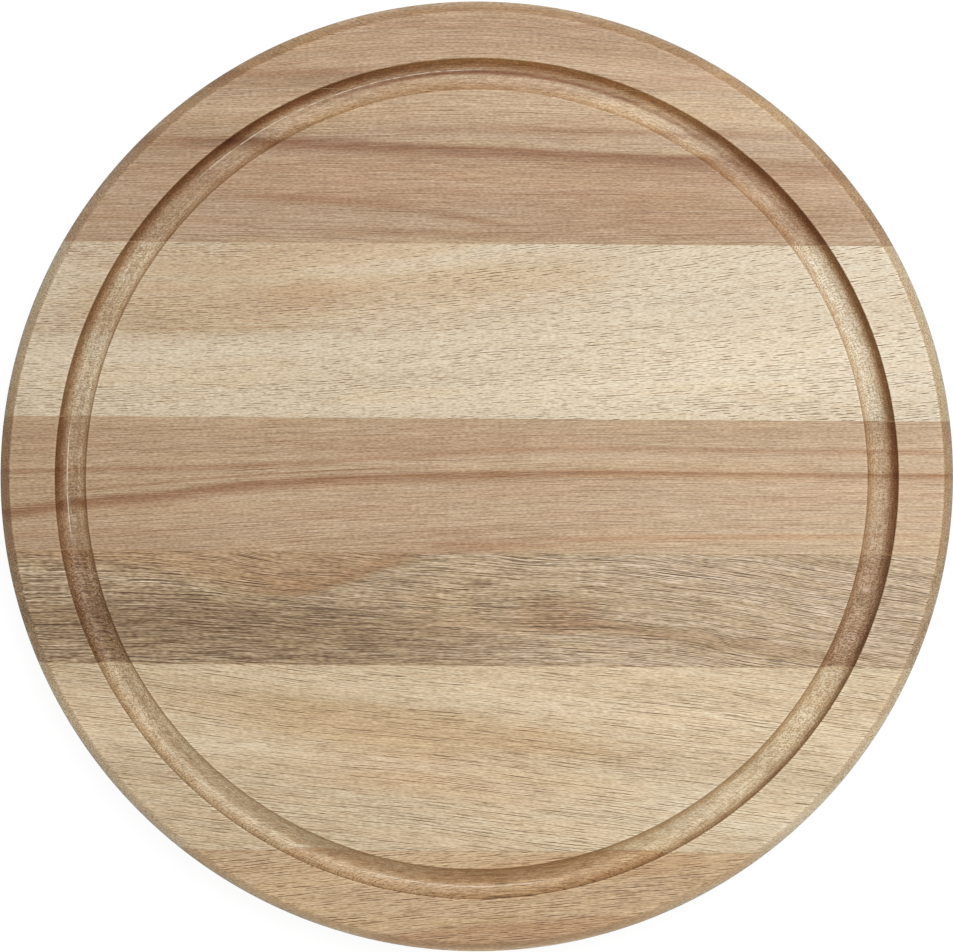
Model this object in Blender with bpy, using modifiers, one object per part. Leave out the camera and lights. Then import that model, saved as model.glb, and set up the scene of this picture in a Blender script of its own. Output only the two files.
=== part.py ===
"""Round serving board: an edge-glued panel of hardwood staves, sawn round, with a routed juice groove.

Units are metres and +Z is up. The origin is the middle of the underside, and the grain runs along X.
Staves and glue lines are numbered outwards from the middle stave, to the rear (+Y) and to the front (-Y).
"""

import math

import bmesh
import bpy

# Finished board
BOARD_DIAMETER = 0.350
BOARD_THICKNESS = 0.018
TOP_CHAMFER = 0.004
FOOT_CHAMFER = 0.004

# Juice groove, left by a round-nosed cutter
GROOVE_CUTTER_DIAMETER = 0.012
GROOVE_DEPTH = 0.004
GROOVE_INSET = 0.0263  # from the rim in to the groove's centre line

# Staves, measured across the grain. The two rim staves fill what is left, up to the rim.
MIDDLE_STAVE_WIDTH = 0.0488
MIDDLE_STAVE_SHIFT = -0.0009  # its centre line, from the board's centre
REAR_STAVE_1_WIDTH = 0.0636
REAR_STAVE_2_WIDTH = 0.0553
FRONT_STAVE_1_WIDTH = 0.0414
FRONT_STAVE_2_WIDTH = 0.0689
NARROWEST_RIM_STAVE = 0.010  # a strip thinner than this isn't glued on: its neighbour reaches the rim

# Glue joints
GLUE_FILM = 0.0002
GLUE_CLEARANCE = 0.00005  # on each side of the film

# The rough blanks stand proud of the finished board by this much before it is sawn out
SAWING_ALLOWANCE = 0.005

# Facets of the turned form
TURNED_STEPS = 120
COVE_SEGMENTS = 8
MERGE_DISTANCE = 0.00001
FLAT_FACE_WEIGHT = 100  # keeps the shading of the flats clean up to their arrises

# Finishes: linear colours and roughness
OILED_WOOD_ROUGHNESS = 0.45
DRIED_GLUE_COLOUR = (0.16, 0.09, 0.05)
DRIED_GLUE_ROUGHNESS = 0.6
WOOD_COLOURS = {
    "rear_rim_stave": (0.50, 0.35, 0.23),
    "rear_stave_2": (0.47, 0.32, 0.20),
    "rear_stave_1": (0.65, 0.53, 0.38),
    "middle_stave": (0.50, 0.34, 0.22),
    "front_stave_1": (0.41, 0.30, 0.19),
    "front_stave_2": (0.60, 0.46, 0.31),
    "front_rim_stave": (0.50, 0.35, 0.20),
}

# Sizes that follow from the ones above
RIM_RADIUS = BOARD_DIAMETER / 2
GLUE_JOINT = GLUE_FILM + 2 * GLUE_CLEARANCE
BLANK_LENGTH = BOARD_DIAMETER + 2 * SAWING_ALLOWANCE
BLANK_THICKNESS = BOARD_THICKNESS + 2 * SAWING_ALLOWANCE


def clear_scene():
    for old in list(bpy.data.objects):
        bpy.data.objects.remove(old, do_unlink=True)


def add_collection(name):
    collection = bpy.data.collections.new(name)
    bpy.context.scene.collection.children.link(collection)
    return collection


def add_finish(name, colour, roughness):
    finish = bpy.data.materials.new(name)
    finish.use_nodes = True
    shader = finish.node_tree.nodes["Principled BSDF"]
    shader.inputs["Base Color"].default_value = (*colour, 1.0)
    shader.inputs["Roughness"].default_value = roughness
    shader.inputs["Metallic"].default_value = 0.0
    finish.diffuse_color = (*colour, 1.0)
    return finish


def groove_profile():
    """Section of the juice groove as (radius, height), from its inner lip to its outer lip."""
    centre_radius = RIM_RADIUS - GROOVE_INSET
    cutter_radius = GROOVE_CUTTER_DIAMETER / 2
    nose_height = BOARD_THICKNESS - GROOVE_DEPTH + cutter_radius
    # A groove deeper than the cutter's nose has upright walls above the round part
    upright_wall = max(GROOVE_DEPTH - cutter_radius, 0.0)
    half_angle = math.acos((cutter_radius - GROOVE_DEPTH + upright_wall) / cutter_radius)
    points = []
    for step in range(COVE_SEGMENTS + 1):
        angle = half_angle * (2 * step / COVE_SEGMENTS - 1)
        radius = centre_radius + cutter_radius * math.sin(angle)
        points.append((radius, nose_height - cutter_radius * math.cos(angle)))
    if upright_wall > 0:
        points.insert(0, (points[0][0], BOARD_THICKNESS))
        points.append((points[-1][0], BOARD_THICKNESS))
    return points


def board_profile():
    """Section of the whole board as (radius, height), from the middle of its top down to its underside."""
    return [
        (0.0, BOARD_THICKNESS),
        *groove_profile(),
        (RIM_RADIUS - TOP_CHAMFER, BOARD_THICKNESS),
        (RIM_RADIUS, BOARD_THICKNESS - TOP_CHAMFER),
        (RIM_RADIUS, FOOT_CHAMFER),
        (RIM_RADIUS - FOOT_CHAMFER, 0.0),
        (0.0, 0.0),
    ]


def add_turned_form(name, profile, collection):
    """The finished board's outer form as one solid of revolution, which every blank is sawn to."""
    section = bmesh.new()
    points = [section.verts.new((radius, 0.0, height)) for radius, height in profile]
    for upper, lower in zip(points, points[1:]):
        section.edges.new((upper, lower))
    mesh = bpy.data.meshes.new(name)
    section.to_mesh(mesh)
    section.free()
    form = bpy.data.objects.new(name, mesh)
    collection.objects.link(form)
    turning = form.modifiers.new("Turning", "SCREW")
    turning.axis = "Z"
    turning.angle = math.tau
    turning.steps = TURNED_STEPS
    turning.render_steps = TURNED_STEPS
    turning.use_merge_vertices = True
    turning.merge_threshold = MERGE_DISTANCE
    turning.use_smooth_shade = True
    form.hide_render = True
    form.display_type = "WIRE"
    return form


def add_sawn_piece(name, low_edge, high_edge, finish, form, board, collection):
    """A straight blank between two edges across the grain, sawn to the board's form."""
    blank = bmesh.new()
    bmesh.ops.create_cube(blank, size=1.0)
    bmesh.ops.scale(blank, vec=(BLANK_LENGTH, high_edge - low_edge, BLANK_THICKNESS), verts=blank.verts)
    mesh = bpy.data.meshes.new(name)
    blank.to_mesh(mesh)
    blank.free()
    mesh.shade_smooth()
    mesh.materials.append(finish)
    piece = bpy.data.objects.new(name, mesh)
    piece.parent = board
    piece.location = (0.0, (low_edge + high_edge) / 2, BOARD_THICKNESS / 2)
    collection.objects.link(piece)
    sawing = piece.modifiers.new("Sawn to the round", "BOOLEAN")
    sawing.operation = "INTERSECT"
    sawing.solver = "EXACT"
    sawing.object = form
    shading = piece.modifiers.new("Crisp arrises", "WEIGHTED_NORMAL")
    shading.weight = FLAT_FACE_WEIGHT
    return piece


def lay_side(side, inner_edge, widths):
    """Edges of the staves and films on one side of the middle stave, as distances out from the centre."""
    past_rim = RIM_RADIUS + SAWING_ALLOWANCE
    names = [f"{side}_stave_{number}" for number in range(1, len(widths) + 1)]
    names.append(f"{side}_rim_stave")
    staves = []
    films = []
    edge = inner_edge
    for number, (name, width) in enumerate(zip(names, [*widths, past_rim]), start=1):
        near_edge = edge + GLUE_JOINT
        films.append((f"{side}_glue_line_{number}", edge + GLUE_CLEARANCE, near_edge - GLUE_CLEARANCE))
        edge = near_edge + width
        if RIM_RADIUS - edge < NARROWEST_RIM_STAVE:
            staves.append((name, near_edge, past_rim))
            break
        staves.append((name, near_edge, edge))
    return staves, films


def main():
    clear_scene()
    parts = add_collection("round_serving_board")
    cutters = add_collection("cutters")
    board = bpy.data.objects.new("board_centre", None)
    parts.objects.link(board)
    form = add_turned_form("sawing_form", board_profile(), cutters)

    rear_edge = MIDDLE_STAVE_SHIFT + MIDDLE_STAVE_WIDTH / 2
    front_edge = MIDDLE_STAVE_SHIFT - MIDDLE_STAVE_WIDTH / 2
    rear_staves, rear_films = lay_side("rear", rear_edge, (REAR_STAVE_1_WIDTH, REAR_STAVE_2_WIDTH))
    front_staves, front_films = lay_side("front", -front_edge, (FRONT_STAVE_1_WIDTH, FRONT_STAVE_2_WIDTH))

    staves = [("middle_stave", front_edge, rear_edge), *rear_staves]
    staves += [(name, -far, -near) for name, near, far in front_staves]
    for name, low_edge, high_edge in staves:
        finish = add_finish(f"{name}_wood", WOOD_COLOURS[name], OILED_WOOD_ROUGHNESS)
        add_sawn_piece(name, low_edge, high_edge, finish, form, board, parts)

    films = rear_films + [(name, -far, -near) for name, near, far in front_films]
    for name, low_edge, high_edge in films:
        finish = add_finish(f"{name}_glue", DRIED_GLUE_COLOUR, DRIED_GLUE_ROUGHNESS)
        add_sawn_piece(name, low_edge, high_edge, finish, form, board, parts)

    print(f"round serving board: {len(staves)} staves, {len(films)} glue lines")


main()
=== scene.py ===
import bpy
import bmesh
import math
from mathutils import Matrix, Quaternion, Vector


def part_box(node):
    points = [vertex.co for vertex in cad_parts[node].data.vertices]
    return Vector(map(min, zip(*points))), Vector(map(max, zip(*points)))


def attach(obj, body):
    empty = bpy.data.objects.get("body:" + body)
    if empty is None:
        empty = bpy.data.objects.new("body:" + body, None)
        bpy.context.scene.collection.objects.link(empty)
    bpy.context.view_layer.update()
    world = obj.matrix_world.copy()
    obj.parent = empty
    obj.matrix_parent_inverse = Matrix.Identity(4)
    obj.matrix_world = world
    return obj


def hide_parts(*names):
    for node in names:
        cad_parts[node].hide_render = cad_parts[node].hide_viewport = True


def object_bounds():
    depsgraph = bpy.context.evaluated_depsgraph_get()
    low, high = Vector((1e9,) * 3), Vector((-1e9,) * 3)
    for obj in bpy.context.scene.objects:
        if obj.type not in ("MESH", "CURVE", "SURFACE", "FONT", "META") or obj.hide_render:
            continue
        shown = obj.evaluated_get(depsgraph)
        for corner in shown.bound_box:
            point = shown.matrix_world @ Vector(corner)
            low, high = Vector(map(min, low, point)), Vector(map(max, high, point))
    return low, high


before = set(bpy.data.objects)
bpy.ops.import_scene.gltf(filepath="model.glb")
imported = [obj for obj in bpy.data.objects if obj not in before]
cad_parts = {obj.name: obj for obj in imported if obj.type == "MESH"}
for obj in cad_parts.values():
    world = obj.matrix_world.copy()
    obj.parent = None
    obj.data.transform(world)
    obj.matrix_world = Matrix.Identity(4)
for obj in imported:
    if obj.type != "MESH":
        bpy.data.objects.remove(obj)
cadLow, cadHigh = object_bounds()
scene = bpy.context.scene
scene.view_settings.view_transform = "Standard"
print("frame loaded:", len(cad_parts), "nodes")

# camera, almost straight down on the serving face
cameraSetup = {
    "distance": 1.0,        # from the middle of the serving face, m
    "lean": 4.4,            # off the vertical, towards the rear, degrees
    "roll": 0.36,
    "lens": 103.30,
    "sensor": 36.0,
    "nearest": 0.01,
    "aimX": -0.0001,        # where the middle of the picture falls on the serving face, m
    "aimY": 0.0028,
}


def addCamera(setup):
    data = bpy.data.cameras.new("photoCamera")
    data.lens = setup["lens"]
    data.sensor_width = setup["sensor"]
    data.clip_start = setup["nearest"]
    camera = bpy.data.objects.new("photoCamera", data)
    scene.collection.objects.link(camera)
    lean = math.radians(setup["lean"])
    aim = Vector((setup["aimX"], setup["aimY"], cadHigh.z))
    camera.location = aim + Vector((0, math.sin(lean), math.cos(lean))) * setup["distance"]
    camera.rotation_mode = "QUATERNION"
    tilt = Quaternion((1, 0, 0), -lean)
    camera.rotation_quaternion = tilt @ Quaternion((0, 0, 1), math.radians(setup["roll"]))
    scene.camera = camera


addCamera(cameraSetup)
print("camera set")


# node helpers: an input is a socket to link or a value to set
def addNode(tree, kind, inputs=None, **settings):
    node = tree.nodes.new(kind)
    for key, value in settings.items():
        setattr(node, key, value)
    for key, value in (inputs or {}).items():
        if isinstance(value, bpy.types.NodeSocket):
            tree.links.new(value, node.inputs[key])
        else:
            node.inputs[key].default_value = value
    return node


def calc(tree, operation, a, b=0.0):
    return addNode(tree, "ShaderNodeMath", {0: a, 1: b}, operation=operation).outputs[0]


def product(tree, value, *others):
    for other in others:
        value = calc(tree, "MULTIPLY", value, other)
    return value


def squares(tree, a, b):
    return calc(tree, "ADD", product(tree, a, a), product(tree, b, b))


def combine(tree, x, y, z=0.0):
    return addNode(tree, "ShaderNodeCombineXYZ", {0: x, 1: y, 2: z}).outputs[0]


def ramp(tree, value, low, high, toLow=0.0, toHigh=1.0, smooth=True):
    kind = "SMOOTHSTEP" if smooth else "LINEAR"
    node = addNode(tree, "ShaderNodeMapRange", {0: value, 1: low, 2: high, 3: toLow, 4: toHigh},
                   interpolation_type=kind)
    return node.outputs[0]


def band(tree, value, low, high, soft):
    rises = ramp(tree, value, low - soft, low + soft)
    falls = ramp(tree, value, high + soft, high - soft)
    return product(tree, rises, falls)


def stretch(tree, vector, scale, shift=(0, 0, 0)):
    node = addNode(tree, "ShaderNodeMapping", {"Vector": vector, "Scale": scale, "Location": shift})
    return node.outputs[0]


def noise(tree, vector, detail=0.0, rough=0.5):
    node = addNode(tree, "ShaderNodeTexNoise", {"Vector": vector, "Scale": 1.0, "Detail": detail,
                                                "Roughness": rough})
    return node.outputs[0]


def centred(tree, value, amount):
    return product(tree, calc(tree, "SUBTRACT", value, 0.5), amount)


def tint(tree, colour, other, share, blend="MIX"):
    node = addNode(tree, "ShaderNodeMix", {0: share, 6: colour, 7: other},
                   data_type="RGBA", blend_type=blend)
    return node.outputs[2]


def shade(tree, colour, by, *shares):
    return tint(tree, colour, (*by, 1), product(tree, *shares), "MULTIPLY")


# from 0 to 255, as a screen shows it, to the shader's linear values
def srgb(red, green, blue):
    values = []
    for c in (red, green, blue):
        c = c / 255
        values.append(c / 12.92 if c <= 0.04045 else ((c + 0.055) / 1.055) ** 2.4)
    return (*values, 1)


# a line drawn through a few spots, as height over run
def drawnLine(tree, value, spots, run, rise):
    curve = addNode(tree, "ShaderNodeFloatCurve", {"Value": ramp(tree, value, *run, smooth=False)})
    points = curve.mapping.curves[0].points
    spots = [((x - run[0]) / (run[1] - run[0]), (y - rise[0]) / (rise[1] - rise[0])) for x, y in spots]
    for x, y in spots[1:-1]:
        points.new(x, y)
    points[0].location = spots[0]
    points[len(points) - 1].location = spots[-1]
    curve.mapping.update()
    return ramp(tree, curve.outputs[0], 0, 1, *rise, smooth=False)


# studio: white table, even sky, one soft window high at the right rear
studio = {
    "sky": 0.41,
    "white": (1, 1, 1, 1),
    "keyPlace": (0.46, 0.66, 1.35),
    "keySize": 0.85,
    "keyPower": 17.2,
    "tableSize": 6.0,
    "tableDrop": 0.0002,    # just clear of the foot, m
    "tableGlow": 0.93,
    "tableAlbedo": 0.10,
}


# camera, glossy and transmission rays, which all show the white backdrop
def seenDirectly(tree):
    path = addNode(tree, "ShaderNodeLightPath")
    share = path.outputs["Is Camera Ray"]
    for ray in ("Is Glossy Ray", "Is Transmission Ray"):
        share = calc(tree, "MAXIMUM", share, path.outputs[ray])
    return share


def mixShaders(tree, share, first, second):
    return addNode(tree, "ShaderNodeMixShader", {0: share, 1: first, 2: second}).outputs[0]


def addSky(setup):
    world = bpy.data.worlds.new("studioSky")
    scene.world = world
    world.use_nodes = True
    tree = world.node_tree
    tree.nodes.clear()
    lit = addNode(tree, "ShaderNodeBackground", {"Color": setup["white"], "Strength": setup["sky"]})
    seen = addNode(tree, "ShaderNodeBackground", {"Color": setup["white"], "Strength": 1.0})
    sky = mixShaders(tree, seenDirectly(tree), lit.outputs[0], seen.outputs[0])
    addNode(tree, "ShaderNodeOutputWorld", {"Surface": sky})


def addWindow(setup):
    data = bpy.data.lights.new("windowKey", "AREA")
    data.shape = "SQUARE"
    data.size = setup["keySize"]
    data.energy = setup["keyPower"]
    key = bpy.data.objects.new("windowKey", data)
    key.location = setup["keyPlace"]
    key.rotation_mode = "QUATERNION"
    key.rotation_quaternion = (-Vector(setup["keyPlace"])).to_track_quat("-Z", "Y")
    scene.collection.objects.link(key)


# white from above, with the board's shadow; clear from below, so that the foot is lit and can be looked at
def tableFinish(setup):
    mat = bpy.data.materials.new("whiteTable")
    mat.use_nodes = True
    tree = mat.node_tree
    tree.nodes.clear()
    lay = addNode(tree, "ShaderNodeBsdfDiffuse", {"Color": (setup["tableAlbedo"],) * 3 + (1,)})
    glow = addNode(tree, "ShaderNodeEmission", {"Strength": setup["tableGlow"]})
    both = addNode(tree, "ShaderNodeAddShader", {0: lay.outputs[0], 1: glow.outputs[0]})
    clear = addNode(tree, "ShaderNodeBsdfTransparent")
    sides = addNode(tree, "ShaderNodeNewGeometry")
    top = mixShaders(tree, seenDirectly(tree), clear.outputs[0], both.outputs[0])
    oneSided = mixShaders(tree, sides.outputs["Backfacing"], top, clear.outputs[0])
    addNode(tree, "ShaderNodeOutputMaterial", {"Surface": oneSided})
    return mat


def addTable(setup):
    bm = bmesh.new()
    bmesh.ops.create_grid(bm, x_segments=1, y_segments=1, size=setup["tableSize"] / 2)
    bmesh.ops.translate(bm, verts=bm.verts[:], vec=(0, 0, -setup["tableDrop"]))
    mesh = bpy.data.meshes.new("whiteTable")
    bm.to_mesh(mesh)
    bm.free()
    mesh.materials.append(tableFinish(setup))
    table = bpy.data.objects.new("whiteTable", mesh)
    scene.collection.objects.link(table)


addSky(studio)
addWindow(studio)
addTable(studio)
print("studio set")

# the board as turned on the lathe, before the staves are told apart, m
boardForm = {
    "radius": cadHigh.x,
    "thickness": cadHigh.z,
    "chamfer": 0.004,
    "grooveRadius": 0.1487,     # centre line of the juice groove
    "cutterRadius": 0.006,
    "grooveDepth": 0.004,
    "chamferEase": 0.0006,      # sanded rounding of the rim corners
    "lipEase": 0.00035,         # sanded rounding of the groove lips
    "easeSteps": 4,
    "turnSteps": 360,
    "coveSteps": 20,
    "weld": 0.000002,
    "ringReach": 0.00001,       # how near a corner's own ring an edge has to lie to be eased
    "sawReach": 0.0000001,
    "sharpFrom": 35,            # degrees between faces
    "jointGap": 0.00005,        # that the solids leave beside the glue; the staves close it here
}


def nearRing(edge, radius, height, reach):
    for vert in edge.verts:
        if abs(vert.co.xy.length - radius) > reach or abs(vert.co.z - height) > reach:
            return False
    return True


# half the groove's width at the serving face
def grooveHalf(form):
    sink = form["cutterRadius"] - form["grooveDepth"]
    return math.sqrt(form["cutterRadius"] ** 2 - sink ** 2)


def turnBoard(form):
    rim, top, cham = form["radius"], form["thickness"], form["chamfer"]
    cutter = form["cutterRadius"]
    sink = cutter - form["grooveDepth"]                  # cutter centre above the serving face
    lipHalf = grooveHalf(form)
    outerLip = form["grooveRadius"] + lipHalf
    innerLip = form["grooveRadius"] - lipHalf
    bm = bmesh.new()
    rimCorners = [(rim - cham, 0), (rim, cham), (rim, top - cham), (rim - cham, top)]
    chain = [bm.verts.new((x, 0, z)) for x, z in [(0, 0), *rimCorners, (outerLip, top)]]
    for a, b in zip(chain, chain[1:]):
        bm.edges.new((a, b))
    # the cove, swept round the cutter centre from the outer lip to the inner one
    sweep = 2 * math.asin(lipHalf / cutter)
    swept = bmesh.ops.spin(bm, geom=[chain[-1]], cent=(form["grooveRadius"], 0, top + sink),
                           axis=(0, 1, 0), angle=sweep, steps=form["coveSteps"])
    last = [v for v in swept["geom_last"] if isinstance(v, bmesh.types.BMVert)][0]
    middle = bm.verts.new((0, 0, top))
    bm.edges.new((last, middle))
    bmesh.ops.spin(bm, geom=bm.verts[:] + bm.edges[:], cent=(0, 0, 0), axis=(0, 0, 1),
                   angle=2 * math.pi, steps=form["turnSteps"], use_merge=True)
    bmesh.ops.remove_doubles(bm, verts=bm.verts[:], dist=form["weld"])
    bmesh.ops.recalc_face_normals(bm, faces=bm.faces[:])
    eases = [(radius, height, form["chamferEase"]) for radius, height in rimCorners]
    eases += [(radius, top, form["lipEase"]) for radius in (outerLip, innerLip)]
    for radius, height, ease in eases:
        ring = [e for e in bm.edges if nearRing(e, radius, height, form["ringReach"])]
        bmesh.ops.bevel(bm, geom=ring, offset=ease, offset_type="OFFSET", affect="EDGES",
                        segments=form["easeSteps"], profile=0.5, material=-1)
    return bm


# one slice of the turned board, sawn along X at the front and at the rear
def sliceBoard(turned, form, name, front, rear):
    bm = turned.copy()
    for place, side in ((front, -1), (rear, 1)):
        if abs(place) > form["radius"] - form["weld"]:      # the rim itself
            continue
        bmesh.ops.bisect_plane(bm, geom=bm.verts[:] + bm.edges[:] + bm.faces[:], dist=form["sawReach"],
                               plane_co=(0, place, 0), plane_no=(0, side, 0), clear_outer=True)
        sawn = [e for e in bm.edges if e.is_boundary]
        bmesh.ops.holes_fill(bm, edges=sawn, sides=0)
    bmesh.ops.recalc_face_normals(bm, faces=bm.faces[:])
    for face in bm.faces:
        face.smooth = True
    for edge in bm.edges:
        edge.smooth = edge.calc_face_angle(0) < math.radians(form["sharpFrom"])
    mesh = bpy.data.meshes.new(name)
    bm.to_mesh(mesh)
    bm.free()
    piece = bpy.data.objects.new(name, mesh)
    scene.collection.objects.link(piece)
    even = piece.modifiers.new("evenFaces", "WEIGHTED_NORMAL")
    even.mode = "FACE_AREA"
    even.weight = 100
    even.keep_sharp = True
    return piece


def sawnEdges(node, form):
    low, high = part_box(node)
    front = max(low.y - form["jointGap"], -form["radius"])
    rear = min(high.y + form["jointGap"], form["radius"])
    return front, rear


def layPiece(piece, finish, node):
    piece.data.materials.append(finish)
    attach(piece, "root")
    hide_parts(node)


turnedBoard = turnBoard(boardForm)
print("board turned:", len(turnedBoard.faces), "faces")

# finishes are drawn in millimetres
millimetres = 1000
boardReach = round(boardForm["radius"] * millimetres, 3)
boardSpan = (-boardReach, boardReach)

# what the lathe leaves on every stave, and the painted sheen on the groove's floor
# a share is drawn round the board: degrees from the right end towards the rear, then strength
roundSpan = (-180, 180)
shareSpan = (0, 1.5)
grooveCut = {
    "centre": boardForm["grooveRadius"] * millimetres,
    "half": grooveHalf(boardForm) * millimetres,
    "soft": 0.25,
    "faceFrom": (11, 13),               # heights between which the serving side begins
    # painted sheen: the floor of the groove paler and cooler
    "floorSheen": (1.07, 1.12, 1.15),
    "endTint": (0.90, 0.88, 0.86),      # where the cut crosses the grain
    "endPower": 6.0,                    # how closely that keeps to the two ends
    "toolPitch": 0.55,
    "toolTurn": 0.4,
    "toolSpan": (0.42, 0.68),
    "toolTint": (0.84, 0.79, 0.73),
}
warmWallShade = (0.84, 0.60, 0.37)           # painted warm shade on both walls beside the floor

# painted light and shade across the groove: span is off its centre line, a band where it is soft, or else a
# ramp
grooveLightAndShade = {
    # painted warm shade on the outer wall, stronger on some sides
    "outerWarmShade": {
        "span": (0.9, 5.0), "tint": warmWallShade,
        "share": [(-180, 0.7), (-150, 0.3), (-90, 0.2), (-60, 0.35), (-30, 0.2), (0, 0.8), (30, 1.0),
                  (120, 1.0), (150, 0.75), (180, 0.7)],
    },
    "outerShadow": {
        "span": (0.9, 5.0), "tint": (0.36, 0.26, 0.20),
        "share": [(-180, 0.8), (-150, 0.25), (-120, 0.35), (-90, 0.3), (-60, 0.4), (-30, 0.4), (0, 0.95),
                  (30, 1.0), (60, 0.7), (90, 0.6), (120, 1.0), (150, 0.75), (180, 0.8)],
    },
    # painted shade by the outer lip
    "outerLip": {
        "span": (3.9, 5.1), "tint": (0.55, 0.45, 0.34),
        "share": [(-180, 0.3), (-150, 0.5), (-120, 0.45), (-90, 0.25), (-60, 0.6), (-30, 0.9), (0, 0.15),
                  (30, 0.15), (60, 0.0), (90, 0.0), (120, 0.3), (150, 0.25), (180, 0.3)],
    },
    # painted light on the outer lip
    "outerLipLight": {
        "span": (3.9, 5.1), "tint": (1.42, 1.62, 1.72),
        "share": [(-180, 0.1), (-150, 0.2), (-120, 0.15), (-90, 0.05), (-30, 0.0), (0, 0.4), (30, 0.4),
                  (60, 0.85), (90, 1.0), (120, 0.5), (150, 0.1), (180, 0.1)],
    },
    # painted warm shade by the inner lip, all round
    "innerWarmShade": {
        "span": (-2.4, -5.4), "tint": warmWallShade,
        "share": [(-180, 0.4), (180, 0.4)],
    },
    # painted shade by the inner lip
    "innerLip": {
        "span": (-2.2, -4.2), "tint": (0.84, 0.74, 0.62),
        "share": [(-180, 0.0), (-120, 0.0), (-90, 0.3), (-60, 0.8), (-30, 0.5), (0, 0.3), (30, 0.2),
                  (60, 0.0), (90, 0.0), (120, 0.4), (150, 0.15), (180, 0.0)],
    },
    "innerShadow": {
        "span": (-3.4, 0.9), "soft": 1.2, "tint": (0.68, 0.60, 0.52),
        "share": [(-180, 0.0), (-155, 0.45), (-120, 0.75), (-90, 1.0), (-65, 0.4), (-30, 0.0), (120, 0.0),
                  (180, 0.0)],
    },
    # painted light on the inner wall
    "innerWallLight": {
        "span": (-5.2, -2.2), "soft": 0.8, "tint": (1.46, 1.54, 1.62),
        "share": [(-180, 1.0), (-150, 0.95), (-120, 0.4), (-90, 0.05), (-60, 0.05), (0, 0.15), (30, 0.2),
                  (60, 0.2), (90, 0.0), (120, 0.25), (150, 0.6), (180, 1.0)],
    },
    # painted shade of a crease below the rear wall
    "creaseShadeBelowRearWall": {
        "span": (0.15, 1.65), "soft": 0.75, "tint": (0.50, 0.33, 0.24),
        "share": [(-180, 0.0), (30, 0.2), (58, 0.5), (75, 0.9), (92, 1.0), (108, 0.6), (128, 0.1),
                  (180, 0.0)],
    },
}


def around(tree, cut, spots):
    return drawnLine(tree, cut["turn"], spots, roundSpan, shareSpan)


# how closely a place on the board lies towards the ends of an axis
def towards(tree, axis, radius, power):
    return calc(tree, "POWER", calc(tree, "DIVIDE", calc(tree, "ABSOLUTE", axis), radius), power)


# where the lathe cut: distance from the middle, from the groove's centre line, and what is groove or rim
def latheCut(tree, wood):
    flat = addNode(tree, "ShaderNodeVectorMath", {0: wood["place"], 1: (1, 1, 0)}, operation="MULTIPLY")
    radius = addNode(tree, "ShaderNodeVectorMath", {0: flat.outputs[0]}, operation="LENGTH").outputs["Value"]
    off = calc(tree, "SUBTRACT", radius, grooveCut["centre"])
    onTop = ramp(tree, wood["z"], *grooveCut["faceFrom"])
    between = band(tree, off, -grooveCut["half"], grooveCut["half"], grooveCut["soft"])
    rimOff = calc(tree, "SUBTRACT", radius, rimCut["inner"])
    return {
        "place": wood["place"], "x": wood["x"], "y": wood["y"],
        "radius": radius, "off": off, "onTop": onTop, "inGroove": product(tree, between, onTop),
        "rimOff": rimOff, "onRim": ramp(tree, rimOff, *rimCut["edge"]),
        "turn": product(tree, calc(tree, "ARCTAN2", wood["y"], wood["x"]), math.degrees(1)),
        "endways": towards(tree, wood["x"], radius, grooveCut["endPower"]),
    }


def grooveFinish(tree, colour, cut):
    inGroove = cut["inGroove"]
    # painted sheen on the groove's floor
    colour = shade(tree, colour, grooveCut["floorSheen"], inGroove)
    # painted light and shade across the groove
    for name, zone in grooveLightAndShade.items():
        if "soft" in zone:
            across = band(tree, cut["off"], *zone["span"], zone["soft"])
        else:
            across = ramp(tree, cut["off"], *zone["span"])
        cut[name] = product(tree, across, inGroove, around(tree, cut, zone["share"]))
        colour = shade(tree, colour, zone["tint"], cut[name])
    colour = shade(tree, colour, grooveCut["endTint"], cut["endways"], inGroove)
    toolAt = combine(tree, product(tree, cut["radius"], 1 / grooveCut["toolPitch"]),
                     product(tree, cut["turn"], grooveCut["toolTurn"]))
    toolMarks = ramp(tree, noise(tree, toolAt), *grooveCut["toolSpan"])
    return shade(tree, colour, grooveCut["toolTint"], toolMarks, inGroove)


# end pores, open wherever the cut crosses the grain, and painted glints between them on the outer wall
endPores = {
    "size": 0.55,
    "span": (0.48, 0.66),
    "tint": (0.68, 0.60, 0.52),
    "fullFrom": 0.3,        # of the way towards the ends
    "leastInGroove": 0.45,
    "leastOnRim": 0.3,
    "glintShift": (40, 0, 0),
    "glintSpan": (0.54, 0.66),
    "glintTint": (1.50, 1.40, 1.22),
}


def poreFinish(tree, colour, cut):
    scale = (1 / endPores["size"],) * 3
    pores = ramp(tree, noise(tree, stretch(tree, cut["place"], scale)), *endPores["span"])
    opened = []
    for where, least in (("inGroove", "leastInGroove"), ("onRim", "leastOnRim")):
        opens = ramp(tree, cut["endways"], 0, endPores["fullFrom"], endPores[least], 1.0)
        opened.append(product(tree, cut[where], opens))
    colour = shade(tree, colour, endPores["tint"], pores, calc(tree, "MAXIMUM", *opened))
    # painted glints on the outer wall, between the end pores
    glints = noise(tree, stretch(tree, cut["place"], scale, endPores["glintShift"]))
    glints = ramp(tree, glints, *endPores["glintSpan"])
    return shade(tree, colour, endPores["glintTint"], glints, cut["outerWarmShade"])


# a painted highlight, broken, along a thin line on parts of the groove
ridgeHighlight = {
    "off": 1.65,            # outside the groove's centre line
    "half": 0.10,
    "soft": 0.12,
    "colour": (244, 234, 218),
    "share": 0.80,
    "arcs": [(90, 132), (-105, -80)],
    "arcSoft": 3.0,
    "leftArcFrom": (171, 174),
    "breakSize": 3,
    "breaks": (0.34, 0.5, 0.25, 1.0),
}


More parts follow.
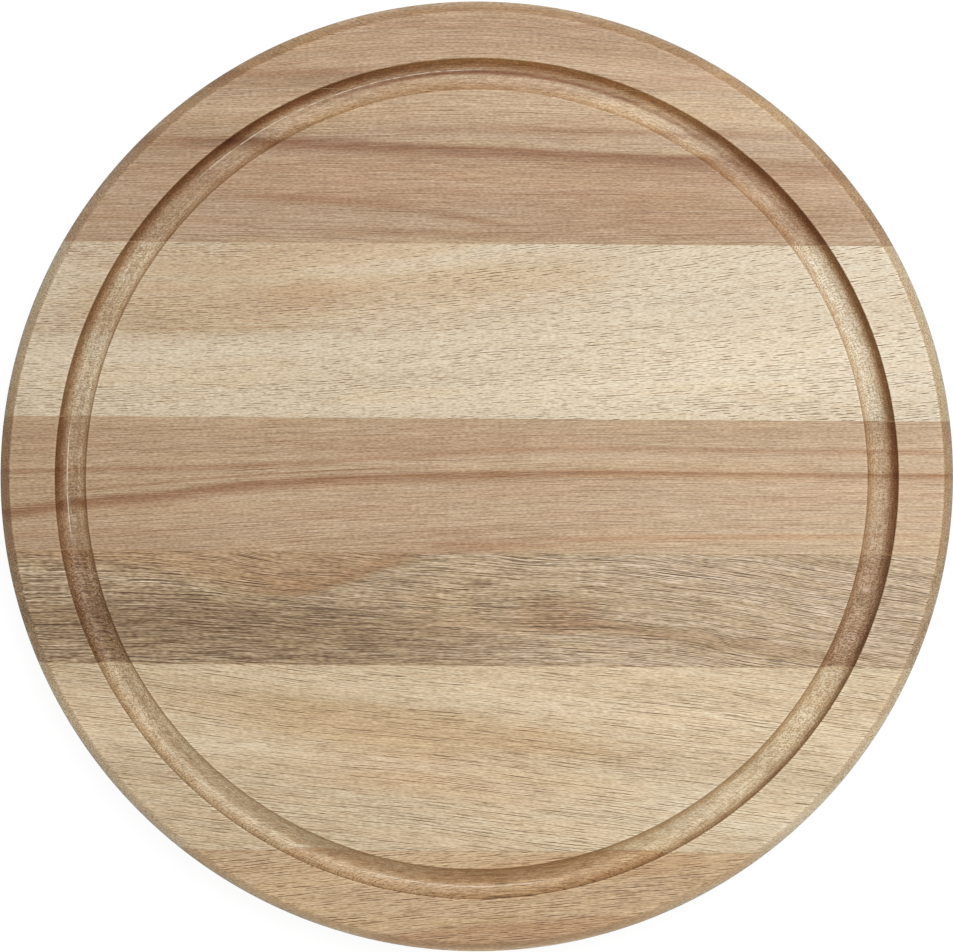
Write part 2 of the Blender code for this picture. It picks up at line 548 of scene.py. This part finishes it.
def ridgeHighlightFinish(tree, colour, cut):
    along = ramp(tree, calc(tree, "ABSOLUTE", cut["turn"]), *ridgeHighlight["leftArcFrom"])
    for start, end in ridgeHighlight["arcs"]:
        along = calc(tree, "MAXIMUM", along, band(tree, cut["turn"], start, end, ridgeHighlight["arcSoft"]))
    low, high = ridgeHighlight["off"] - ridgeHighlight["half"], ridgeHighlight["off"] + ridgeHighlight["half"]
    line = band(tree, cut["off"], low, high, ridgeHighlight["soft"])
    breaks = noise(tree, stretch(tree, cut["place"], (1 / ridgeHighlight["breakSize"],) * 3), 1.0)
    broken = ramp(tree, breaks, *ridgeHighlight["breaks"])
    share = product(tree, line, along, broken, cut["inGroove"], ridgeHighlight["share"])
    return tint(tree, colour, srgb(*ridgeHighlight["colour"]), share)


# lips of the groove: a thin line of painted shade, with a painted highlight beside it
grooveLips = {
    # painted shade: a thin dark line along the lips
    "line": (-0.30, -0.05),         # off the lip
    "lineSoft": 0.15,
    "colour": (88, 56, 28),
    "innerAndOuter": (0.45, 0.5),
    "share": [(-180, 1.0), (0, 1.0), (30, 0.6), (60, 0.2), (90, 0.1), (120, 0.5), (150, 1.0), (180, 1.0)],
    # painted highlight just beside the lips
    "pale": (0.25, 0.75),
    "highlightSoft": 0.2,
    "highlightTint": (1.08, 1.08, 1.07),
}


def lipFinish(tree, colour, cut):
    lipOff = calc(tree, "SUBTRACT", calc(tree, "ABSOLUTE", cut["off"]), grooveCut["half"])
    # painted shade along the lips, stronger on some sides
    line = band(tree, lipOff, *grooveLips["line"], grooveLips["lineSoft"])
    side = ramp(tree, cut["off"], -1, 1, *grooveLips["innerAndOuter"])
    share = product(tree, line, cut["onTop"], side, around(tree, cut, grooveLips["share"]))
    colour = tint(tree, colour, srgb(*grooveLips["colour"]), share)
    # painted highlight beside the lips
    pale = band(tree, lipOff, *grooveLips["pale"], grooveLips["highlightSoft"])
    return shade(tree, colour, grooveLips["highlightTint"], pale, cut["onTop"])


# rim: brown chamfer, darker on the end grain; painted shade where it faces the window and painted light
# where it faces the front; a painted cool sheen and painted shade at its outer corner; a painted highlight
# along its inner corner
rimCut = {
    "inner": boardReach - boardForm["chamfer"] * millimetres,     # corner where the chamfer begins
    "edge": (-0.2, 0.3),            # outside that corner
    "tint": (1.13, 1.15, 1.15),
    "windowWay": 0.5,               # how far the window stands to the right, for each step to the rear
    # painted shade on the rim facing the window, painted light on the rim facing the front
    "windowSideShade": (0.84, 0.79, 0.72),
    "frontSideLight": (1.16, 1.13, 1.11),
    "endTint": (0.82, 0.78, 0.70),
    "endPower": 14.0,
    "leftTint": (0.80, 0.72, 0.64),
    "leftFull": -170,
    "dark": (0.80, 0.72, 0.62),
    "darkShare": [(-180, 0.4), (-150, 0.0), (-120, 0.15), (-90, 0.7), (-60, 0.15), (-30, 0.1), (0, 0.3),
                  (30, 0.5), (60, 0.6), (90, 0.3), (120, 0.9), (150, 0.0), (180, 0.4)],
    # painted cool sheen at the outer corner, strongest across the grain, and painted shade there on some
    # sides
    "corner": (1.6, 3.6),
    "cornerSheen": (1.01, 1.11, 1.25),
    "crossSheen": (1.28, 1.38, 1.50),
    "crossPower": 12.0,
    "cornerShade": (0.78, 0.80, 0.84),
    "cornerShadeShare": [(-180, 0.0), (-150, 0.3), (-120, 1.0), (-90, 0.0), (-60, 0.6), (-30, 0.1), (0, 0.4),
                    (30, 0.3), (60, 0.4), (90, 0.0), (120, 0.4), (150, 0.5), (180, 0.0)],
    # painted highlight along the chamfer's inner corner
    "pale": (-1.0, -0.3),
    "highlightSoft": 0.25,
    "highlightTint": (1.07, 1.07, 1.06),
}


def rimFinish(tree, colour, cut):
    onRim, radius = cut["onRim"], cut["radius"]
    # painted shade towards the window, painted light towards the front
    toWindow = calc(tree, "ADD", product(tree, cut["x"], rimCut["windowWay"]), cut["y"])
    toWindow = calc(tree, "DIVIDE", toWindow, radius)
    colour = shade(tree, colour, rimCut["windowSideShade"], onRim, ramp(tree, toWindow, -1, 1, smooth=False))
    colour = shade(tree, colour, rimCut["frontSideLight"], onRim, ramp(tree, toWindow, 0, -1, smooth=False))
    endOn = towards(tree, cut["x"], radius, rimCut["endPower"])
    colour = shade(tree, colour, rimCut["endTint"], endOn, onRim)
    leftward = ramp(tree, cut["x"], 0, rimCut["leftFull"])
    colour = shade(tree, colour, rimCut["leftTint"], endOn, leftward, onRim)
    colour = shade(tree, colour, rimCut["tint"], onRim)
    colour = shade(tree, colour, rimCut["dark"], onRim, around(tree, cut, rimCut["darkShare"]))
    # painted cool sheen at the outer corner, then painted shade on some sides
    corner = ramp(tree, cut["rimOff"], *rimCut["corner"])
    colour = shade(tree, colour, rimCut["cornerSheen"], corner)
    crossways = towards(tree, cut["y"], radius, rimCut["crossPower"])
    colour = shade(tree, colour, rimCut["crossSheen"], corner, crossways)
    colour = shade(tree, colour, rimCut["cornerShade"], corner, around(tree, cut, rimCut["cornerShadeShare"]))
    # painted highlight along the chamfer's inner corner
    pale = band(tree, cut["rimOff"], *rimCut["pale"], rimCut["highlightSoft"])
    return shade(tree, colour, rimCut["highlightTint"], pale, cut["onTop"])


# waves of colour in the wood: length along, across and down, what is added to the seed, detail, roughness
# where there is no length, the stave gives it
woodWaves = {
    "slow": ((120, 50, 30), 0, 1.0, 0.5),
    "curl": ((34, 14, 14), 3, 1.0, 0.5),
    "broad": ((190, 15, 15), 7, 1.0, 0.5),
    "strand": ((110, 2.4, 2.4), 11, 1.0, 0.4),
    "fibre": (None, 17, 0.0, 0.5),
    "fleck": (None, 23, 0.0, 0.5),
    "hue": ((80, 7, 7), 37, 1.0, 0.5),
    "swing": (None, 41, 0.0, 0.5),
    "busy": ((110, 5, 5), 47, 1.0, 0.5),
}
woodLook = {
    "ringRun": 260,
    "ringDetail": 2.0,
    "ringRough": 0.45,
    "hueReach": 0.16,
    "patchRagged": 1.2,
    "patchFade": (1.8, 0.1),
    "streakRagged": 2.0,
    "streakFibre": (0.25, 0.75, 0.6, 1.1),
    "streakFadeOut": 25,
    "streakFadeIn": 10,
    "tongueRagged": 3.0,
    "tongueFade": (-3.0, 5.0),
    "tongueBusy": 0.55,
    "busySpan": (0.36, 0.62),
    "rough": 0.5,
    "roughSpread": 0.25,
    "specular": 0.35,
    "bump": 0.25,
    "bumpDepth": 0.0001,
}


def woodWave(tree, wood, kind, size=None, on="grain"):
    usual, seedStep, detail, rough = woodWaves[kind]
    scale = [1 / length for length in size or usual]
    return noise(tree, stretch(tree, wood[on], scale, (wood["seed"] + seedStep, 0, 0)), detail, rough)


def boardLine(tree, wood, spots):
    return drawnLine(tree, wood["x"], spots, boardSpan, boardSpan)


# how the grain runs: a drawn flow at the front and rear edges of the stave, and a slow wander
def grainFlow(tree, stave, front, rear):
    where = addNode(tree, "ShaderNodeTexCoord").outputs["Object"]
    place = stretch(tree, where, (millimetres,) * 3)
    alongX, acrossY, heightZ = addNode(tree, "ShaderNodeSeparateXYZ", {0: place}).outputs
    wood = {"place": place, "x": alongX, "y": acrossY, "z": heightZ, "seed": stave["seed"]}
    toRear = ramp(tree, acrossY, front * millimetres, rear * millimetres, smooth=False)
    flow = addNode(tree, "ShaderNodeMix", {0: toRear, 2: boardLine(tree, wood, stave["frontFlow"]),
                                           3: boardLine(tree, wood, stave["rearFlow"])}, data_type="FLOAT")
    slow = woodWave(tree, wood, "slow", on="place")
    drift = calc(tree, "SUBTRACT", centred(tree, slow, stave["wander"]), flow.outputs[0])
    if "curl" in stave:
        curl = woodWave(tree, wood, "curl", on="place")
        drift = calc(tree, "ADD", drift, centred(tree, curl, stave["curl"]))
    wood["grainY"] = calc(tree, "ADD", acrossY, drift)
    wood["grain"] = combine(tree, alongX, wood["grainY"], heightZ)
    return wood


# growth rings round a heart that lies below the board
def growthRings(tree, stave, wood):
    heartY, heartZ = stave["heart"]
    ringY = calc(tree, "SUBTRACT", wood["grainY"], heartY)
    ringZ = calc(tree, "SUBTRACT", wood["z"], heartZ)
    fromHeart = calc(tree, "SQRT", squares(tree, ringY, ringZ))
    ringAt = combine(tree, product(tree, fromHeart, 1 / stave["ringWidth"]),
                     product(tree, wood["x"], 1 / woodLook["ringRun"]), wood["seed"])
    return noise(tree, ringAt, woodLook["ringDetail"], woodLook["ringRough"])


# rings, bands, strands, fibres and flecks together pick a colour between dark and pale
def woodColour(tree, stave, wood):
    tone = calc(tree, "ADD", centred(tree, growthRings(tree, stave, wood), stave["ringShare"]), 0.5)
    # painted light: the tone lightens steadily towards the right end
    tone = calc(tree, "ADD", tone, product(tree, wood["x"], stave["rise"] / millimetres))
    for kind in ("broad", "strand", "fibre", "fleck"):
        size, share = stave[kind]
        wood[kind] = woodWave(tree, wood, kind, size)
        tone = calc(tree, "ADD", tone, centred(tree, wood[kind], share))
    shades = addNode(tree, "ShaderNodeValToRGB", {0: tone})
    stops = shades.color_ramp.elements
    stops[0].color = srgb(*stave["dark"])
    stops[1].color = srgb(*stave["pale"])
    stops.new(0.5).color = srgb(*stave["body"])
    # long bands that lean to red or to yellow
    hue = woodWave(tree, wood, "hue")
    redder = ramp(tree, hue, 0.5, 0.5 + woodLook["hueReach"])
    yellower = ramp(tree, hue, 0.5, 0.5 - woodLook["hueReach"])
    colour = shade(tree, shades.outputs[0], stave["redder"], redder)
    return shade(tree, colour, stave["yellower"], yellower)


# broad patches of another hue
def patchFinish(tree, colour, patches, wood):
    for patchX, patchY, halfLong, halfWide, patchTint in patches:
        offX = product(tree, calc(tree, "SUBTRACT", wood["x"], patchX), 1 / halfLong)
        offY = product(tree, calc(tree, "SUBTRACT", wood["grainY"], patchY), 1 / halfWide)
        ragged = centred(tree, wood["broad"], woodLook["patchRagged"])
        away = calc(tree, "ADD", squares(tree, offX, offY), ragged)
        colour = shade(tree, colour, patchTint, ramp(tree, away, *woodLook["patchFade"]))
    return colour


def awayFrom(tree, wood, path, ragged):
    edge = calc(tree, "ADD", wood["y"], centred(tree, wood["strand"], ragged))
    return calc(tree, "SUBTRACT", edge, boardLine(tree, wood, path))


# single streaks drawn along the grain, dark or pale, each over its own length
def streakFinish(tree, colour, streaks, wood):
    fadeOut, fadeIn = woodLook["streakFadeOut"], woodLook["streakFadeIn"]
    for path, above, below, (start, end), streakTint in streaks:
        away = awayFrom(tree, wood, path, woodLook["streakRagged"])
        streak = product(tree, ramp(tree, away, above, 0), ramp(tree, away, -below, 0),
                         ramp(tree, wood["fibre"], *woodLook["streakFibre"], smooth=False),
                         ramp(tree, wood["x"], start - fadeOut, start + fadeIn),
                         ramp(tree, wood["x"], end + fadeOut, end - fadeIn))
        colour = shade(tree, colour, streakTint, streak)
    return colour


# thin lines along the grain, each broken into dashes: open pores, dark hairs and pale flecks
grainLine = {
    "swing": 1.6,
    "swingWide": 7,
    "leanDown": 0.6,            # sideways for each step down into the wood
    "rowStep": 5.37,
    "stepDown": 2.5,
    "calmDrop": 0.13,
    "dashSpan": (0.46, 0.60),
    "core": 0.4,
    "cutShare": 0.5,            # on the groove and the rim
    "darkUnder": 400,           # red, green and blue together
    "shoulder": (1.5, 3.2),     # where a dark line's pale shoulder is palest, and its end
    "shoulderTint": (1.16, 1.16, 1.15),
}


def lineFinish(tree, colour, stave, wood, cut, busy):
    alongX, heightZ = wood["x"], wood["z"]
    swing = woodWave(tree, wood, "swing", (stave["sway"], grainLine["swingWide"], grainLine["swingWide"]))
    onCut = calc(tree, "MAXIMUM", cut["inGroove"], cut["onRim"])
    onFlat = ramp(tree, onCut, 0, 1, 1.0, grainLine["cutShare"], smooth=False)
    calmness = ramp(tree, busy, 0, 1, grainLine["calmDrop"], 0.0, smooth=False)
    lines = []
    for n, (dashLong, gap, half, share, lean, lineColour) in enumerate(stave["lines"]):
        across = calc(tree, "ADD", wood["grainY"], product(tree, alongX, -math.tan(math.radians(lean))))
        across = calc(tree, "ADD", across, product(tree, heightZ, grainLine["leanDown"]))
        swung = centred(tree, swing, grainLine["swing"] / gap)
        rows = calc(tree, "ADD", product(tree, across, 1 / gap), swung)
        off = calc(tree, "ABSOLUTE", calc(tree, "SUBTRACT", calc(tree, "FRACT", rows), 0.5))
        dashAt = combine(tree, product(tree, alongX, 1 / dashLong),
                         product(tree, calc(tree, "FLOOR", rows), grainLine["rowStep"]),
                         product(tree, heightZ, grainLine["stepDown"]))
        dash = noise(tree, stretch(tree, dashAt, (1, 1, 1), (wood["seed"] + n, 0, n)))
        dash = calc(tree, "SUBTRACT", dash, calmness)
        reach = ramp(tree, dash, *grainLine["dashSpan"], 0.0, half / gap)       # pointed at both ends
        line = product(tree, ramp(tree, off, reach, product(tree, reach, grainLine["core"])), onFlat)
        if sum(lineColour) < grainLine["darkUnder"]:
            palest, end = [product(tree, reach, place) for place in grainLine["shoulder"]]
            shoulder = product(tree, ramp(tree, off, reach, palest), ramp(tree, off, end, palest))
            colour = shade(tree, colour, grainLine["shoulderTint"], shoulder, share)
        colour = tint(tree, colour, srgb(*lineColour), product(tree, line, share))
        lines.append(line)
    return colour, lines[0]


def woodFinish(stave, front, rear):
    mat = bpy.data.materials.new(stave["name"] + "Wood")
    mat.use_nodes = True
    tree = mat.node_tree
    wood = grainFlow(tree, stave, front, rear)
    colour = woodColour(tree, stave, wood)
    colour = patchFinish(tree, colour, stave.get("patches", ()), wood)
    colour = streakFinish(tree, colour, stave.get("streaks", ()), wood)
    busy = ramp(tree, woodWave(tree, wood, "busy"), *woodLook["busySpan"], stave["calm"], 1.0)
    if "tongue" in stave:       # smooth heartwood that lies against the rear joint
        path, tongueTint = stave["tongue"]
        tongue = ramp(tree, awayFrom(tree, wood, path, woodLook["tongueRagged"]), *woodLook["tongueFade"])
        colour = shade(tree, colour, tongueTint, tongue)
        busy = product(tree, busy, ramp(tree, tongue, 0, 1, 1.0, woodLook["tongueBusy"], smooth=False))
    cut = latheCut(tree, wood)
    colour, pits = lineFinish(tree, colour, stave, wood, cut, busy)
    if "cutTint" in stave:
        colour = shade(tree, colour, stave["cutTint"], cut["inGroove"])
    for finish in (grooveFinish, poreFinish, ridgeHighlightFinish, lipFinish, rimFinish):
        colour = finish(tree, colour, cut)
    rough = calc(tree, "ADD", centred(tree, wood["fibre"], woodLook["roughSpread"]), woodLook["rough"])
    height = calc(tree, "SUBTRACT", centred(tree, wood["fibre"], 1.0), pits)
    bump = addNode(tree, "ShaderNodeBump", {"Height": height, "Strength": woodLook["bump"],
                                            "Distance": woodLook["bumpDepth"]})
    shader = tree.nodes["Principled BSDF"]
    shader.inputs["Specular IOR Level"].default_value = woodLook["specular"]
    tree.links.new(colour, shader.inputs["Base Color"])
    tree.links.new(rough, shader.inputs["Roughness"])
    tree.links.new(bump.outputs[0], shader.inputs["Normal"])
    return mat


# the seven staves, rear to front; colours as they look in daylight
# flows: how the grain runs, at the stave's rear and front edge
# broad, strand, fibre, fleck: length along, across and down if it is the stave's own, share
# patches: middle, half length and width, tint; streaks: path, reach above and below, stretch, tint
# lines: dash length, gap, half width, strength, lean, colour
# rise: painted light, how fast the tone lightens towards the right end
smoothWood = {
    "sway": 70, "rise": 0.8, "calm": 0.3,
    "fibre": ((16, 0.5, 0.5), 0.50), "fleck": ((1.5, 0.42, 0.42), 0.70),
    "redder": (1.01, 0.97, 0.93), "yellower": (1.02, 1.01, 0.95),
    "lines": [(30, 1.3, 0.12, 0.7, 0.0, (98, 60, 32)), (10, 0.6, 0.085, 0.55, 0.0, (108, 72, 42)),
              (16, 0.7, 0.10, 0.3, 0.0, (244, 222, 194)), (5, 0.75, 0.095, 0.6, 0.6, (94, 58, 30))],
}
rearRimStave = {
    **smoothWood,
    "name": "rearRimStave", "node": "rear_rim_stave", "slot": "rear_rim_wood",
    "seed": 3.1, "wander": 5.0, "heart": (60, -60), "ringWidth": 5.0,
    "rearFlow": [(-175, -20), (-90, -8), (-45, -2), (0, 0), (45, -3), (90, -10), (175, -25)],
    "frontFlow": [(-175, -14), (-90, -5), (0, 0), (90, -6), (175, -16)],
    "ringShare": 0.7, "broad": (None, 0.4), "strand": (None, 0.18),
    "dark": (132, 104, 76), "body": (180, 150, 120), "pale": (215, 188, 160),
    "streaks": [([(-175, 146), (-70, 148.5), (0, 150), (175, 146)],
                 2.2, 3.2, (-100, -50), (0.84, 0.72, 0.64)),
                ([(-175, 146), (0, 149), (80, 147.5), (175, 146)], 1.8, 2.6, (70, 95), (0.88, 0.77, 0.70)),
                ([(-175, 164), (0, 165.6), (175, 164)], 1.4, 1.8, (-45, 38), (0.90, 0.82, 0.76))],
}
redHeart = [(-175, 127), (-116, 124.5), (-70, 123.9), (-13, 122), (41, 120), (86, 118), (175, 114)]
rearStaveTwo = {
    **smoothWood,
    "name": "rearStaveTwo", "node": "rear_stave_2", "slot": "rear_2_wood",
    "seed": 8.7, "wander": 3.0, "heart": (190, -70), "ringWidth": 6.0,
    "rearFlow": [(-175, -8), (-60, -3), (-15, 0), (15, 0.2), (45, -0.6), (80, -2), (175, -6)],
    "frontFlow": [(-175, 0), (-60, 0), (-30, -1.1), (0, -2.2), (60, -1.6), (175, 0)],
    "ringShare": 0.42, "broad": (None, 0.28), "strand": (None, 0.17),
    "dark": (130, 102, 74), "body": (178, 150, 122), "pale": (214, 192, 164),
    "patches": [(10, 137, 160, 7, (1.14, 1.15, 1.12)), (0, 112, 120, 8, (0.95, 0.87, 0.82)),
                (80, 101, 55, 12, (0.95, 0.88, 0.83))],
    "streaks": [(redHeart, 2.4, 4.6, (-95, 80), (0.60, 0.44, 0.36)),
                (redHeart, 3.0, 7.5, (-175, 175), (0.84, 0.74, 0.67)),
                ([(-175, 130), (0, 128.5), (175, 126)], 1.6, 2.6, (-30, 100), (0.80, 0.71, 0.65)),
                ([(-175, 108), (-79, 104), (-31, 101), (-4, 96.8), (23, 91), (175, 80)],
                 2.4, 3.4, (-85, 5), (0.80, 0.70, 0.62)),
                ([(-175, 93), (0, 91), (175, 88)], 2.0, 2.6, (-50, 15), (0.84, 0.75, 0.68))],
}
rearStaveOne = {
    "name": "rearStaveOne", "node": "rear_stave_1", "slot": "rear_1_wood",
    "seed": 14.2, "sway": 45, "wander": 4.0, "heart": (40, -90), "ringWidth": 5.0,
    "rearFlow": [(-175, -6), (-60, -5), (-30, -3), (0, 0), (60, 7.5), (120, 15), (175, 21)],
    "frontFlow": [(-175, -4), (-60, -2), (0, 0.5), (175, 7)],
    "ringShare": 0.32, "broad": (None, 0.30), "strand": (None, 0.16), "rise": 0.8,
    "fibre": ((8, 0.5, 0.5), 0.50), "fleck": ((1.5, 0.42, 0.42), 0.80), "calm": 0.1,
    "dark": (172, 148, 120), "body": (212, 195, 168), "pale": (236, 225, 204),
    "redder": (1.0, 0.97, 0.93), "yellower": (1.01, 1.0, 0.98),
    "patches": [(-98, 71, 50, 13, (0.88, 0.79, 0.70)), (-70, 87, 75, 6, (0.94, 0.86, 0.80)),
                (-15, 71, 65, 13, (0.95, 0.88, 0.81)), (0, 38, 170, 14, (1.06, 1.06, 1.05)),
                (90, 31, 70, 14, (1.05, 1.05, 1.05))],
    "streaks": [([(-175, 55.5), (-60, 56.5), (0, 57), (175, 57)],
                 0.9, 1.1, (-125, -60), (0.80, 0.71, 0.63))],
    "lines": [(4.5, 0.85, 0.135, 0.9, 1.5, (90, 54, 24)), (3.0, 0.6, 0.10, 0.8, -0.3, (106, 70, 36)),
              (6, 0.8, 0.14, 0.2, 0.5, (255, 250, 238))],
}
middleHeart = [(-175, -12), (-143, -7.4), (-113, -4.4), (-84, -0.5), (-34, 2.5), (25, 3.9), (64, 4.5),
               (141, 3.9), (175, 3.9)]
middleBranch = [(-175, 3.5), (-143, 4.5), (-93, 5.8), (-34, 9.8), (25, 12.9), (141, 12.3), (175, 12)]
middleHair = [(-175, -6), (-131, -2), (-100, 1.2), (-64, 3.9), (-13, 6.5), (175, 8)]
middleStave = {
    **smoothWood,
    "name": "middleStave", "node": "middle_stave", "slot": "middle_wood",
    "seed": 21.9, "wander": 3.0, "heart": (-80, -60), "ringWidth": 6.0,
    "rearFlow": [(-175, -5.5), (-60, -1.5), (40, 1.8), (175, 3.5)],
    "frontFlow": [(-175, -9), (-60, -2.5), (0, 1), (45, 3.5), (100, 4), (175, 4)],
    "ringShare": 0.42, "broad": (None, 0.28), "strand": (None, 0.17),
    "dark": (140, 110, 80), "body": (188, 160, 130), "pale": (225, 200, 170),
    "streaks": [(middleHeart, 2.2, 4.2, (-175, 15), (0.65, 0.51, 0.42)),
                (middleHeart, 1.0, 1.8, (30, 175), (0.70, 0.56, 0.47)),
                (middleHeart, 2.5, 5.5, (-175, 175), (0.90, 0.81, 0.74)),
                (middleBranch, 1.5, 3.0, (-175, -60), (0.76, 0.64, 0.55)),
                (middleBranch, 1.3, 2.4, (-40, 160), (0.82, 0.71, 0.63)),
                (middleHair, 0.6, 0.9, (-150, -25), (0.74, 0.62, 0.53)),
                ([(-175, -23), (0, -22.5), (175, -22)], 2.0, 4.0, (-15, 18), (0.84, 0.70, 0.58)),
                ([(-175, -22), (15, -20.2), (143, -18.2), (175, -18)],
                 1.2, 1.7, (10, 150), (0.88, 0.76, 0.68))],
}
tongueEdge = [(-175, -29), (-137, -32), (-113, -35), (-87, -38.9), (-66, -39.9), (-48, -36), (-30, -29),
              (-16, -25), (175, -15)]
frontStaveOne = {
    "name": "frontStaveOne", "node": "front_stave_1", "slot": "front_1_wood",
    "seed": 27.4, "sway": 30, "wander": 3.0, "curl": 2.4, "heart": (-40, -30), "ringWidth": 3.5,
    "rearFlow": [(-175, 10), (-102, 8), (-72, 4), (-42, 1), (16, -3.6), (46, -5), (75, -8.5), (105, -12.5),
                 (134, -18), (175, -26)],
    "frontFlow": [(-175, 2), (-115, 4), (-72, 3.5), (-13, 2), (16, 1.2), (46, 0.5), (75, -1.8), (105, -7.5),
                  (134, -12), (175, -18)],
    "ringShare": 0.5, "broad": (None, 0.35), "strand": (None, 0.12), "rise": 0.6,
    "fibre": ((14, 0.5, 0.5), 1.0), "fleck": ((2.2, 0.42, 0.42), 0.8), "calm": 0.6,
    "dark": (114, 88, 64), "body": (186, 162, 130), "pale": (230, 208, 184),
    "redder": (1.0, 0.96, 0.92), "yellower": (1.02, 1.01, 0.98),
    "patches": [(-72, -57, 84, 11, (0.80, 0.76, 0.72)), (-11, -45, 15, 8, (1.14, 1.14, 1.10)),
                (30, -47, 17, 7, (0.88, 0.79, 0.72)), (118, -34, 27, 5, (1.08, 1.09, 1.10))],
    "tongue": (tongueEdge, (0.91, 0.81, 0.71)),
    "streaks": [([(-175, -32), (-137, -35), (-105, -38.9), (-80, -42.8), (-60, -44.8), (-34, -42), (0, -41),
                  (175, -41)], 1.3, 2.0, (-175, -45), (1.20, 1.26, 1.32)),
                (tongueEdge, 7.0, 3.0, (-75, -25), (0.80, 0.67, 0.56)),
                ([(-175, -45), (-3, -51.7), (44, -61.5), (64, -63.5), (175, -70)],
                 2.0, 2.5, (0, 60), (1.14, 1.13, 1.10)),
                ([(-175, -40), (44, -51.7), (84, -57.6), (127, -63.5), (175, -70)],
                 4.0, 4.5, (45, 125), (0.82, 0.74, 0.66))],
    "cutTint": (0.86, 0.77, 0.73),
    "lines": [(12, 0.75, 0.13, 0.95, 0.0, (60, 36, 16)), (20, 1.05, 0.155, 0.95, 0.0, (54, 32, 14)),
              (5, 0.6, 0.105, 0.85, 0.6, (72, 46, 22))],
}
frontStaveTwo = {
    "name": "frontStaveTwo", "node": "front_stave_2", "slot": "front_2_wood",
    "seed": 33.3, "sway": 45, "wander": 4.0, "heart": (-150, -60), "ringWidth": 5.0,
    "rearFlow": [(-175, 18), (175, -18)], "frontFlow": [(-175, 18), (175, -18)],
    "ringShare": 0.40, "broad": (None, 0.30), "strand": (None, 0.11), "rise": 0.6,
    "fibre": ((12, 0.5, 0.5), 0.65), "fleck": ((1.7, 0.42, 0.42), 0.70), "calm": 0.25,
    "dark": (168, 146, 114), "body": (216, 194, 162), "pale": (244, 230, 202),
    "redder": (1.0, 0.97, 0.93), "yellower": (1.01, 1.0, 0.96),
    "patches": [(75, -76, 85, 16, (1.08, 1.08, 1.08)), (-30, -94, 80, 9, (0.94, 0.86, 0.76)),
                (-5, -110, 72, 9, (0.96, 0.89, 0.83)), (35, -125, 45, 6, (1.05, 1.05, 1.03))],
    "lines": [(16, 1.1, 0.135, 0.95, -0.6, (82, 50, 22)), (8, 0.75, 0.10, 0.85, 0.4, (96, 62, 30)),
              (4, 0.6, 0.09, 0.75, 0.0, (98, 64, 32))],
}
frontRimStave = {
    "name": "frontRimStave", "node": "front_rim_stave", "slot": "front_rim_wood",
    "seed": 39.6, "sway": 45, "wander": 4.0, "heart": (-120, -50), "ringWidth": 5.0,
    "rearFlow": [(-175, -16), (175, 16)], "frontFlow": [(-175, -16), (175, 16)],
    "ringShare": 0.5, "broad": (None, 0.35), "strand": (None, 0.16), "rise": 0.6,
    "fibre": ((10, 0.5, 0.5), 0.65), "fleck": ((1.7, 0.42, 0.42), 0.65), "calm": 0.35,
    "dark": (155, 128, 90), "body": (204, 174, 138), "pale": (236, 212, 176),
    "redder": (1.0, 0.96, 0.92), "yellower": (1.01, 1.0, 0.95),
    "patches": [(40, -145, 48, 6, (0.93, 0.86, 0.78)), (0, -169, 60, 5, (0.86, 0.78, 0.74))],
    "lines": [(9, 1.0, 0.145, 0.95, 0.5, (80, 46, 18)), (5, 0.75, 0.11, 0.85, -0.5, (90, 56, 24)),
              (4, 0.6, 0.10, 0.8, 0.0, (90, 56, 24))],
}
staves = [rearRimStave, rearStaveTwo, rearStaveOne, middleStave, frontStaveOne, frontStaveTwo, frontRimStave]

for stave in staves:
    front, rear = sawnEdges(stave["node"], boardForm)
    piece = sliceBoard(turnedBoard, boardForm, stave["name"], front, rear)
    layPiece(piece, woodFinish(stave, front, rear), stave["node"])
print("staves sawn:", len(staves))

# glue films between the staves
glueFilm = {
    "dark": (150, 116, 82),
    "pale": (190, 158, 120),
    "cloudScale": (60, 400, 400),
    "cloudDetail": 3.0,
    "cloudRough": 0.6,
    "cloudSpan": (0.3, 0.7),
    "rough": 0.5,
}


def glueFinish(film):
    mat = bpy.data.materials.new("driedGlue")
    mat.use_nodes = True
    tree = mat.node_tree
    where = addNode(tree, "ShaderNodeTexCoord").outputs["Object"]
    cloud = noise(tree, stretch(tree, where, film["cloudScale"]), film["cloudDetail"], film["cloudRough"])
    colour = tint(tree, srgb(*film["dark"]), srgb(*film["pale"]), ramp(tree, cloud, *film["cloudSpan"]))
    shader = tree.nodes["Principled BSDF"]
    shader.inputs["Roughness"].default_value = film["rough"]
    tree.links.new(colour, shader.inputs["Base Color"])
    return mat


driedGlue = glueFinish(glueFilm)
glueNodes = sorted(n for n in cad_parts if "glue_line" in n)
for node in glueNodes:
    low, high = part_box(node)
    words = node.split("_")
    name = words[0] + "GlueLine" + words[-1]
    layPiece(sliceBoard(turnedBoard, boardForm, name, low.y, high.y), driedGlue, node)
turnedBoard.free()
print("glue lines laid:", len(glueNodes))
